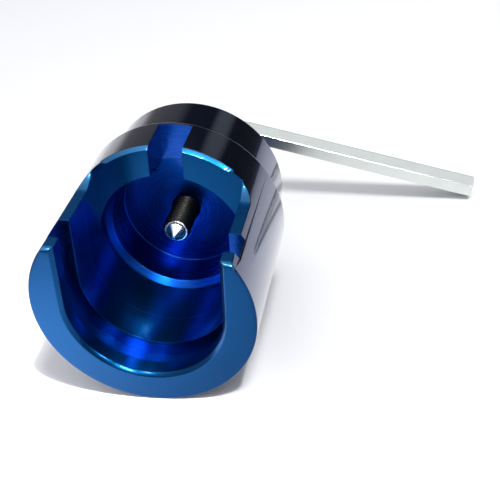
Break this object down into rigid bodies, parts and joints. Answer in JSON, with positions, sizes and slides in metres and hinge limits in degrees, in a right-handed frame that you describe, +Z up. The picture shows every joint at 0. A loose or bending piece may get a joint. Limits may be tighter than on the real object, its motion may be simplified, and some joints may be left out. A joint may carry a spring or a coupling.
{
  "type": "screw puller",
  "caption": "Turned screw puller with an open U-shaped mouth and rim groove, a central jack screw with a free-turning centre point, and a plug-in hex key.",
  "frame": {"origin": "middle of the whole tool's footprint on the table that it lies on", "axes": "+Z up from the table, +Y along the jack screw from the mouth to the hex key, +X towards the free end of the hex key"},
  "size_m": [0.0862, 0.079, 0.045],
  "materials": {
    "blue_anodised_aluminium": "turned, bright blue anodised",
    "black_oxide_steel": "black oxide, satin",
    "hardened_steel": "ground bright",
    "nickel_plated_steel": "nickel plated, satin"
  },
  "bodies": {
    "puller_body": {"puller_body": "blue_anodised_aluminium"},
    "thrust_point": {"thrust_point": "hardened_steel"},
    "jack_screw": {"jack_screw": "black_oxide_steel"},
    "hex_key": {"hex_key": "nickel_plated_steel"}
  },
  "joints": [
    {"name": "screw_travel", "type": "slide", "parent": "puller_body", "child": "thrust_point", "axis": [0, 1, 0], "range_m": [-0.00275, 0.009]},
    {"name": "screw_turn", "type": "hinge", "parent": "thrust_point", "child": "jack_screw", "pos_m": [-0.02063, -0.0115, 0.0225], "axis": [0, 1, 0], "range_deg": [-990, 3240]},
    {"name": "key_pull_out", "type": "slide", "parent": "jack_screw", "child": "hex_key", "axis": [0, 1, 0], "range_m": [0, 0.012]}
  ],
  "couplings": [
    {"joint": "screw_turn", "follows": "screw_travel", "rad_per_m": 6283.2}
  ]
}
